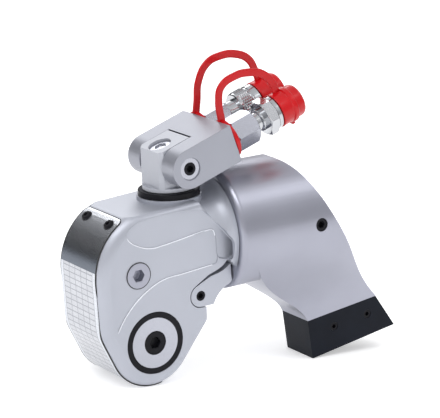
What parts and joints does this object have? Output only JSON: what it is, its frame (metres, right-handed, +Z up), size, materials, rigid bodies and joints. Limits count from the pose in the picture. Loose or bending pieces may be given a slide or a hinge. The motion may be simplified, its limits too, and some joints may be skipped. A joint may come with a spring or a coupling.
{
  "type": "hydraulic torque wrench",
  "caption": "Square-drive hydraulic torque wrench: ratchet head with a cylinder, splined reaction arm with a foot, trigger lock and a two-axis swivel with capped couplers.",
  "frame": {"origin": "on the drive axis, in the plane where a socket seats against the drive shoulder", "axes": "+X along the cylinder towards the reaction arm, +Y along the drive axis out of the square, +Z up through the swivel post"},
  "size_m": [0.2638, 0.1085, 0.2361],
  "materials": {
    "housing_silver": "satin silver lacquer on cast alloy",
    "brushed_plate": "brushed stainless sheet with a ruled chart",
    "black_oxide": "black oxide",
    "zinc_steel": "bright zinc plate",
    "bronze": "turned bronze",
    "seal_rubber": "matt",
    "tool_steel": "hardened and ground",
    "spring_steel": "drawn wire",
    "chrome_rod": "ground chrome",
    "arm_grey": "satin grey lacquer on cast alloy",
    "shoe_black": "satin black",
    "swivel_silver": "bead blasted and anodised",
    "chrome_coupler": "polished plate",
    "red_vinyl": "glossy soft vinyl"
  },
  "bodies": {
    "housing": {"housing": "housing_silver", "front_shroud": "brushed_plate", "shroud_screws": "black_oxide", "side_plug": "zinc_steel", "drive_bushes": "black_oxide", "rod_gland": "bronze", "rod_seal": "seal_rubber", "end_cap": "zinc_steel", "end_cap_seal": "seal_rubber", "holding_pawl_pin": "tool_steel", "holding_pawl_spring": "spring_steel", "trigger_screws": "black_oxide", "trigger_spring": "spring_steel", "swivel_ring": "black_oxide"},
    "drive": {"ratchet_wheel": "tool_steel", "square_drive": "tool_steel", "drive_retainer": "zinc_steel", "retainer_screw": "black_oxide"},
    "lever": {"drive_plates": "tool_steel", "rod_pin": "tool_steel", "plate_spacer": "tool_steel", "drive_pawl_pin": "tool_steel", "drive_pawl_spring": "spring_steel"},
    "drive_pawl": {"drive_pawl": "tool_steel"},
    "holding_pawl": {"holding_pawl": "tool_steel"},
    "piston": {"piston_rod": "chrome_rod", "piston_head": "tool_steel", "piston_seal": "seal_rubber"},
    "trigger": {"trigger_lever": "housing_silver"},
    "arm": {"reaction_arm": "arm_grey", "reaction_shoe": "shoe_black", "shoe_screws": "black_oxide", "arm_plugs": "black_oxide"},
    "post": {"swivel_post": "swivel_silver", "post_plug": "zinc_steel", "swivel_seals": "seal_rubber"},
    "yoke": {"swivel_yoke": "swivel_silver", "pivot_pin": "zinc_steel", "pivot_screws": "black_oxide", "coupler_adapters": "zinc_steel", "male_coupler": "chrome_coupler", "female_coupler": "chrome_coupler", "near_strap": "red_vinyl", "far_strap": "red_vinyl"},
    "sleeve": {"coupler_sleeve": "chrome_coupler"},
    "near_cap": {"near_cap": "red_vinyl"},
    "far_cap": {"far_cap": "red_vinyl"}
  },
  "joints": [
    {"name": "drive_spin", "type": "hinge", "parent": "housing", "child": "drive", "pos_m": [0, -0.034, 0], "axis": [0, 1, 0], "continuous": true},
    {"name": "lever_swing", "type": "hinge", "parent": "housing", "child": "lever", "pos_m": [0, -0.034, 0], "axis": [0, -1, 0], "range_deg": [0, 26]},
    {"name": "piston_slide", "type": "slide", "parent": "housing", "child": "piston", "axis": [-1, 0, 0], "range_m": [0, 0.02949]},
    {"name": "drive_pawl_pivot", "type": "hinge", "parent": "lever", "child": "drive_pawl", "pos_m": [0.02271, -0.034, 0.0317], "axis": [0, -1, 0], "range_deg": [-6, 4.5], "stiffness_Nm_per_rad": 0.3, "deforming": ["drive_pawl_spring"]},
    {"name": "holding_pawl_pivot", "type": "hinge", "parent": "housing", "child": "holding_pawl", "pos_m": [-0.03419, -0.034, 0.0245], "axis": [0, -1, 0], "range_deg": [-2, 7.5], "stiffness_Nm_per_rad": 0.3, "deforming": ["holding_pawl_spring"]},
    {"name": "trigger_pivot", "type": "hinge", "parent": "housing", "child": "trigger", "pos_m": [0.0394, -0.034, 0.0274], "axis": [0, -1, 0], "range_deg": [-3, 6], "stiffness_Nm_per_rad": 2, "deforming": ["trigger_spring"]},
    {"name": "arm_slide", "type": "slide", "parent": "housing", "child": "arm", "axis": [1, 0, 0], "range_m": [0, 0.046]},
    {"name": "post_swivel", "type": "hinge", "parent": "housing", "child": "post", "pos_m": [0.0345, -0.034, 0.1], "axis": [0, 0, 1], "continuous": true},
    {"name": "yoke_tilt", "type": "hinge", "parent": "post", "child": "yoke", "pos_m": [0.0345, -0.034, 0.1224], "axis": [0, -1, 0], "range_deg": [-10, 145]},
    {"name": "sleeve_slide", "type": "slide", "parent": "yoke", "child": "sleeve", "axis": [-0.9483, 0, -0.3173], "range_m": [0, 0.0035], "stiffness_N_per_m": 1500},
    {"name": "near_cap_pull", "type": "slide", "parent": "yoke", "child": "near_cap", "axis": [0.9483, 0, 0.3173], "range_m": [0, 0.024], "deforming": ["near_strap"]},
    {"name": "far_cap_pull", "type": "slide", "parent": "yoke", "child": "far_cap", "axis": [0.9483, 0, 0.3173], "range_m": [0, 0.024], "deforming": ["far_strap"]}
  ],
  "couplings": [
    {"joint": "piston_slide", "follows": "lever_swing", "m_per_rad": 0.064939}
  ]
}
